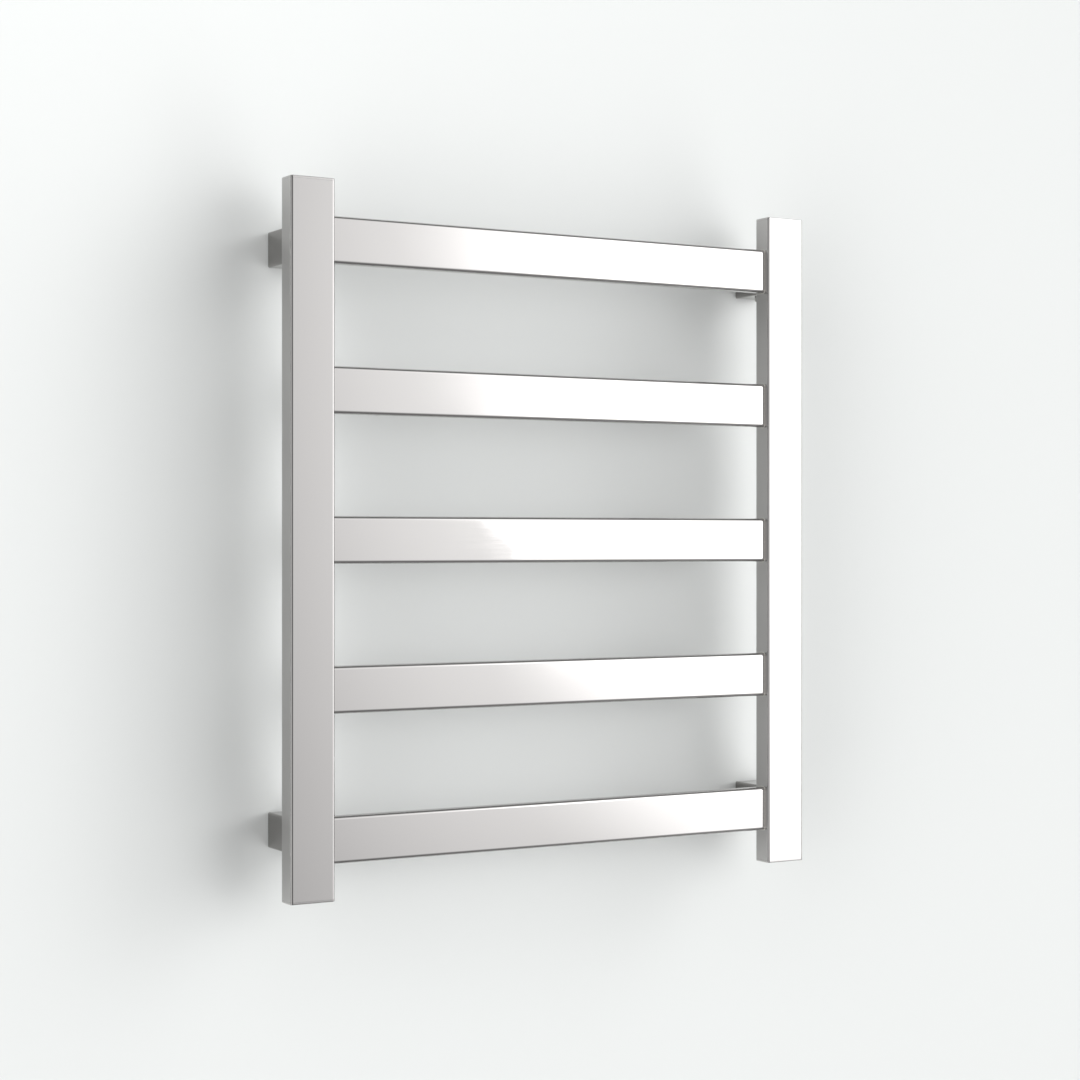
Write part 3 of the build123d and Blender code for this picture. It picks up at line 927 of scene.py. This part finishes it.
# %% Welds at every level
weld_tree, given = new_tree(
    "welds at every level",
    {
        "Rungs": "NodeSocketInt", "First level": "NodeSocketFloat", "Pitch": "NodeSocketFloat",
        "Finish": "NodeSocketMaterial",
    },
)
tree = weld_tree
first = add(tree, "ShaderNodeCombineXYZ", None, {"Z": given["First level"]}).outputs[0]
step_up = add(tree, "ShaderNodeCombineXYZ", None, {"Z": given["Pitch"]}).outputs[0]
levels = add(
    tree, "GeometryNodeMeshLine", None, {"Count": given["Rungs"], "Start Location": first, "Offset": step_up}
).outputs[0]
copies = add(
    tree, "GeometryNodeInstanceOnPoints", None, {"Points": levels, "Instance": given["Geometry"]}
).outputs[0]
solid = add(tree, "GeometryNodeRealizeInstances", None, {"Geometry": copies}).outputs[0]
dressed = add(
    tree, "GeometryNodeSetMaterial", None, {"Geometry": solid, "Material": given["Finish"]}
).outputs[0]
add(tree, "NodeGroupOutput", None, {0: dressed})

weld_mesh = grow(
    "rung welds", weld_tree, one_level,
    {"Rungs": len(rungs), "First level": rung_levels[0], "Pitch": rung_pitch, "Finish": weld_steel},
)
rung_welds = shown("rung_welds", weld_mesh)
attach(rung_welds, "rack")
print("rung welds:", len(weld_mesh.polygons), "faces")

# %% [markdown]
# ## Bracket sleeves
#
# Four short square tubes stand on the backs of the uprights, each with a hole in its underside for the set
# screw. A fillet weld runs all the way round each foot. The tube is closed at the front by the upright and
# open at the wall.

# %% Sleeves and their welds
SCREW_HOLE = 2.55 * MM
FOOT_WELD = 1.2 * MM


def sleeve_tube(name):
    """A square tube along Y, with its set-screw hole cut."""
    low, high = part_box(name)
    centre = (low + high) / 2
    size = high.x - low.x
    outer = rounded_ring(size, size, SLEEVE_CORNER)
    inner = rounded_ring(size - 2 * SLEEVE_WALL, size - 2 * SLEEVE_WALL, 0.4 * MM)
    rings = tube_rings(outer, inner, low.y, high.y, lambda a, b, c: (centre.x + a, c, centre.z + b))
    tube = shell(name, rings, sleeve_steel_with_painted_shade, closed=True)
    screw_y = screw_places[name][1]
    levels = (low.z - SLEEVE_WALL, low.z + 2 * SLEEVE_WALL)
    bar = [[(centre.x + a, screw_y + b, z) for a, b in round_ring(SCREW_HOLE, 48)] for z in levels]
    return cut(tube, [shell("hole", bar, sleeve_steel_with_painted_shade, closed=False)])


def foot_weld(name):
    """The fillet around the foot of a sleeve."""
    low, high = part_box(name)
    centre = (low + high) / 2
    size = high.x - low.x
    path = outline_around(size, size, SLEEVE_CORNER)
    rings = []
    for number, (a, b, out_a, out_b) in enumerate(spaced(path, 1.5 * MM)[:-1]):
        bead = FOOT_WELD * (1 + 0.08 * math.sin(number * 0.8) + 0.05 * math.sin(number * 2.1))
        ring = []
        for along, out in fillet_profile(bead):
            ring.append((centre.x + a + out_a * out, upright_back + along, centre.z + b + out_b * out))
        rings.append(ring)
    return shell("foot weld", rings, weld_steel, closed=True)


screw_vertices = [vertex.co.copy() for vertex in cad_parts["set_screws"].data.vertices]
screw_places = {}
for corner in corners:
    name = "bracket_sleeve_" + corner
    low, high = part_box(name)
    middle = (low + high) / 2
    near = [v for v in screw_vertices if abs(v.x - middle.x) < 0.02 and abs(v.z - middle.z) < 0.03]
    axis_x = (min(v.x for v in near) + max(v.x for v in near)) / 2
    axis_y = (min(v.y for v in near) + max(v.y for v in near)) / 2
    screw_places[name] = (axis_x, axis_y, min(v.z for v in near), max(v.z for v in near))
    sleeve = shown(name + "_tube", sleeve_tube(name))
    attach(sleeve, "rack")
    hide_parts(name)

foot_mesh = joined("sleeve foot welds", [foot_weld("bracket_sleeve_" + corner) for corner in corners])
foot_welds = shown("sleeve_foot_welds", foot_mesh)
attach(foot_welds, "rack")
print("set screws at, in mm:", [[round(v / MM, 1) for v in place] for place in screw_places.values()])

# %% [markdown]
# ## Set screws
#
# An M5 set screw comes up through the underside of each sleeve and bites on the post. The thread is real
# geometry: the radius of every point goes in and out with its height less its share of a turn, which draws a
# helix of 0.8 mm pitch. The hexagon socket for the key is the first ring of the same shell, and the far end
# runs out in a short cone. One screw is built, and a geometry tree sets a copy at each of the four holes.

# %% One set screw
THREAD_PITCH = 0.8 * MM
THREAD_DEPTH = 0.35 * MM
THREAD_RINGS = 6  # rings for each turn of the thread
SOCKET_FLAT = 1.25 * MM  # middle of the socket to a flat, for a 2.5 mm key
SOCKET_DEPTH = 2.5 * MM
SOCKET_EASE = 0.1 * MM
THREAD_START = 0.25 * MM
TIP_LENGTH = 1.25 * MM
SCREW_POINTS = 36

screw_steel, tree = finish_named("machined stainless set screw")
place = add(tree, "ShaderNodeTexCoord").outputs["Object"]
turning_scale = (1 / (2 * MM), 1 / (2 * MM), 1 / (0.1 * MM))  # marks are long around and thin along
turned = add(tree, "ShaderNodeMapping", None, {"Vector": place, "Scale": turning_scale}).outputs[0]
marks = add(tree, "ShaderNodeTexNoise", None, {"Vector": turned, "Scale": 1.0, "Detail": 2.0}).outputs[0]
roughness = add(
    tree, "ShaderNodeMapRange", None,
    {"Value": marks, "From Min": 0.3, "From Max": 0.7, "To Min": 0.2, "To Max": 0.4},
).outputs[0]
normal = add(
    tree, "ShaderNodeBump", None, {"Strength": 0.5, "Distance": 0.01 * MM, "Height": marks}
).outputs[0]
shader = add(
    tree, "ShaderNodeBsdfPrincipled", None,
    {"Base Color": colour("#BDBBB8"), "Metallic": 1.0, "Roughness": roughness, "Normal": normal},
).outputs[0]
add(tree, "ShaderNodeOutputMaterial", None, {"Surface": shader})


def set_screw(radius, length):
    """A threaded set screw along +Z from its socket end at the origin."""
    turns = [2 * math.pi * step / SCREW_POINTS for step in range(SCREW_POINTS)]
    sixth = math.pi / 3

    def hexagon(level):
        reach = [SOCKET_FLAT / math.cos((t + sixth / 2) % sixth - sixth / 2) for t in turns]
        return [(r * math.cos(t), r * math.sin(t), level) for r, t in zip(reach, turns)]

    def threaded(level):
        points = []
        for t in turns:
            phase = (level / THREAD_PITCH - t / (2 * math.pi)) % 1
            reach = radius - THREAD_DEPTH * abs(2 * phase - 1)
            points.append((reach * math.cos(t), reach * math.sin(t), level))
        return points

    def plain(reach, level):
        return [(reach * math.cos(t), reach * math.sin(t), level) for t in turns]

    stop = length - TIP_LENGTH
    count = round(stop / THREAD_PITCH * THREAD_RINGS)
    rings = [
        hexagon(SOCKET_DEPTH),
        hexagon(SOCKET_EASE),
        plain(SOCKET_FLAT + 0.35 * MM, 0),
        plain(radius - THREAD_DEPTH, 0),
    ]
    rings += [threaded(THREAD_START + (stop - THREAD_START) * step / count) for step in range(count + 1)]
    rings.append(plain(radius / 2, length))
    return shell("set screw", rings, screw_steel, closed=False)


first_place = screw_places["bracket_sleeve_top_left"]
screw_radius = (max(v.x for v in near) - min(v.x for v in near)) / 2
screw_length = first_place[3] - first_place[2]
screw_mesh = set_screw(screw_radius, screw_length)
print("set screw:", round(2 * screw_radius / MM, 2), "mm by", round(screw_length / MM, 2), "mm")
print("one screw:", len(screw_mesh.polygons), "faces")

# %% Set screws in their holes
screw_tree, given = new_tree(
    "set screws in their holes", {"Screw": "NodeSocketObject", "Finish": "NodeSocketMaterial"}
)
tree = screw_tree
one = add(
    tree, "GeometryNodeObjectInfo", {"transform_space": "ORIGINAL"}, {"Object": given["Screw"]}
).outputs["Geometry"]
copies = add(
    tree, "GeometryNodeInstanceOnPoints", None, {"Points": given["Geometry"], "Instance": one}
).outputs[0]
solid = add(tree, "GeometryNodeRealizeInstances", None, {"Geometry": copies}).outputs[0]
dressed = add(
    tree, "GeometryNodeSetMaterial", None, {"Geometry": solid, "Material": given["Finish"]}
).outputs[0]
add(tree, "NodeGroupOutput", None, {0: dressed})

hole_spots = bpy.data.meshes.new("hole spots")
hole_spots.from_pydata([place[:3] for place in screw_places.values()], [], [])
pattern = shown("screw pattern", screw_mesh)
all_screws = grow("set screws", screw_tree, hole_spots, {"Screw": pattern, "Finish": screw_steel})
bpy.data.objects.remove(pattern)
set_screws = shown("set_screws_threaded", all_screws)
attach(set_screws, "rack")
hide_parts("set_screws")
print("set screws:", len(all_screws.polygons), "faces")

# %% [markdown]
# ## Moulded and small parts
#
# The remaining pieces keep their CAD shapes, because those shapes are right, and get their own finishes. The
# moulded ones have a fine spark-eroded grain from the mould, which a small noise bump gives, and a colour
# that varies very little. Each grain size is in real millimetres. The metals differ in base colour and in
# how dull they are.

# %% Finishes of the small parts
TONE_PATCH = 12 * MM  # size of the patches in which a colour varies


def grained(name, base, metal, dull, grain, depth):
    """A material with one colour that varies slightly, and a fine grain in its surface and gloss."""
    material, tree = finish_named(name)
    place = add(tree, "ShaderNodeTexCoord").outputs["Object"]
    fine = add(
        tree, "ShaderNodeTexNoise", None, {"Vector": place, "Scale": 1 / grain, "Detail": 3.0}
    ).outputs[0]
    broad = add(
        tree, "ShaderNodeTexNoise", None, {"Vector": place, "Scale": 1 / TONE_PATCH, "Detail": 2.0}
    ).outputs[0]
    glossier, duller = dull * 0.85, min(1.0, dull * 1.15)
    roughness = add(
        tree, "ShaderNodeMapRange", None,
        {"Value": fine, "From Min": 0.3, "From Max": 0.7, "To Min": glossier, "To Max": duller},
    ).outputs[0]
    paler = [min(1.0, part * 1.06) for part in colour(base)[:3]]
    darker = [part * 0.93 for part in colour(base)[:3]]
    tone = add(
        tree, "ShaderNodeMix", {"data_type": "RGBA"}, {"Factor": broad, 6: (*darker, 1.0), 7: (*paler, 1.0)}
    ).outputs[2]
    normal = add(
        tree, "ShaderNodeBump", None, {"Strength": 0.5, "Distance": depth, "Height": fine}
    ).outputs[0]
    shader = add(
        tree, "ShaderNodeBsdfPrincipled", None,
        {"Base Color": tone, "Metallic": metal, "Roughness": roughness, "Normal": normal},
    ).outputs[0]
    add(tree, "ShaderNodeOutputMaterial", None, {"Surface": shader})
    return material


SMALL_PARTS = {
    # glass-filled nylon is a flat grey with a slightly rough skin where fibres reach the surface
    "wall_post_": grained("glass-filled nylon moulding", "#C3C3C1", 0.0, 0.5, 0.35 * MM, 0.02 * MM),
    # black rubber is near black and soaks up light, with a faint bloom
    "supply_grommet": grained("moulded black rubber", "#2A2A29", 0.0, 0.7, 0.25 * MM, 0.02 * MM),
    # silicone sheath is milky and slightly greasy to look at, smoother than rubber
    "heating_cable": grained("extruded silicone sheath", "#CBC8C3", 0.0, 0.42, 0.6 * MM, 0.01 * MM),
    "cable_end_seal": grained("moulded red silicone boot", "#A04F3F", 0.0, 0.45, 0.3 * MM, 0.01 * MM),
    # the cut-out is potted resin with a glossy black shell
    "thermal_cutout": grained("glossy black resin moulding", "#303030", 0.0, 0.22, 0.8 * MM, 0.005 * MM),
    # natural polyamide is an off-white with a soft sheen
    "terminal_block": grained("natural polyamide moulding", "#E1DED8", 0.0, 0.38, 0.3 * MM, 0.01 * MM),
    "terminal_inserts": grained("turned brass barrel", "#D9BE81", 1.0, 0.25, 0.15 * MM, 0.004 * MM),
    "terminal_screws": grained("zinc-plated steel screw", "#C3C3C6", 1.0, 0.35, 0.15 * MM, 0.004 * MM),
    "earth_tab": grained("tinned brass blade", "#D2D2CE", 1.0, 0.3, 0.2 * MM, 0.003 * MM),
}
for start_of_name, material in SMALL_PARTS.items():
    for name in sorted(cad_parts):
        if name.startswith(start_of_name):
            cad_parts[name].material_slots[0].material = material
print("small finishes:", len(SMALL_PARTS))

# %% [markdown]
# The three cores have the colours that every electrician knows: brown for live, green and yellow for earth
# and blue for neutral. They are one CAD node, side by side in X, so hard steps along X give each core its
# colour. The earth core's stripes are the same idea along Z.

# %% Finish of the three cores
CORE_PITCH = 6.0 * MM
STRIPE = 3.0 * MM

core_low, core_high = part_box("core_wires")
core_middle = (core_low.x + core_high.x) / 2
cores_begin = core_middle - CORE_PITCH * 1.5
cores_end = core_middle + CORE_PITCH * 1.5
core_finish, tree = finish_named("silicone core insulation in three colours")
place = add(tree, "ShaderNodeTexCoord").outputs["Object"]
parts = add(tree, "ShaderNodeSeparateXYZ", None, {0: place}).outputs
across = add(
    tree, "ShaderNodeMapRange", None,
    {"Value": parts[0], "From Min": cores_begin, "From Max": cores_end},
).outputs[0]
cycle = add(tree, "ShaderNodeMath", {"operation": "DIVIDE"}, {0: parts[2], 1: STRIPE}).outputs[0]
share = add(tree, "ShaderNodeMath", {"operation": "FRACT"}, {0: cycle}).outputs[0]
yellow = add(tree, "ShaderNodeMath", {"operation": "GREATER_THAN"}, {0: share, 1: 0.5}).outputs[0]
striped = add(
    tree, "ShaderNodeMix", {"data_type": "RGBA"},
    {"Factor": yellow, 6: colour("#3B7D3A"), 7: colour("#D9C531")},
).outputs[2]
is_middle = add(
    tree, "ShaderNodeMath", {"operation": "COMPARE"}, {0: parts[0], 1: core_middle, 2: 1.0 * MM}
).outputs[0]
is_right = add(tree, "ShaderNodeMath", {"operation": "GREATER_THAN"}, {0: across, 1: 0.5}).outputs[0]
outer = add(
    tree, "ShaderNodeMix", {"data_type": "RGBA"},
    {"Factor": is_right, 6: colour("#6B4226"), 7: colour("#2F5FA8")},
).outputs[2]
tone = add(
    tree, "ShaderNodeMix", {"data_type": "RGBA"}, {"Factor": is_middle, 6: outer, 7: striped}
).outputs[2]
skin = add(tree, "ShaderNodeTexNoise", None, {"Vector": place, "Scale": 1 / (0.3 * MM)}).outputs[0]
roughness = add(
    tree, "ShaderNodeMapRange", None,
    {"Value": skin, "From Min": 0.3, "From Max": 0.7, "To Min": 0.35, "To Max": 0.5},
).outputs[0]
shader = add(tree, "ShaderNodeBsdfPrincipled", None, {"Base Color": tone, "Roughness": roughness}).outputs[0]
add(tree, "ShaderNodeOutputMaterial", None, {"Surface": shader})
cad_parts["core_wires"].material_slots[0].material = core_finish
print("cores span", round((core_high.x - core_low.x) / MM, 1), "mm")
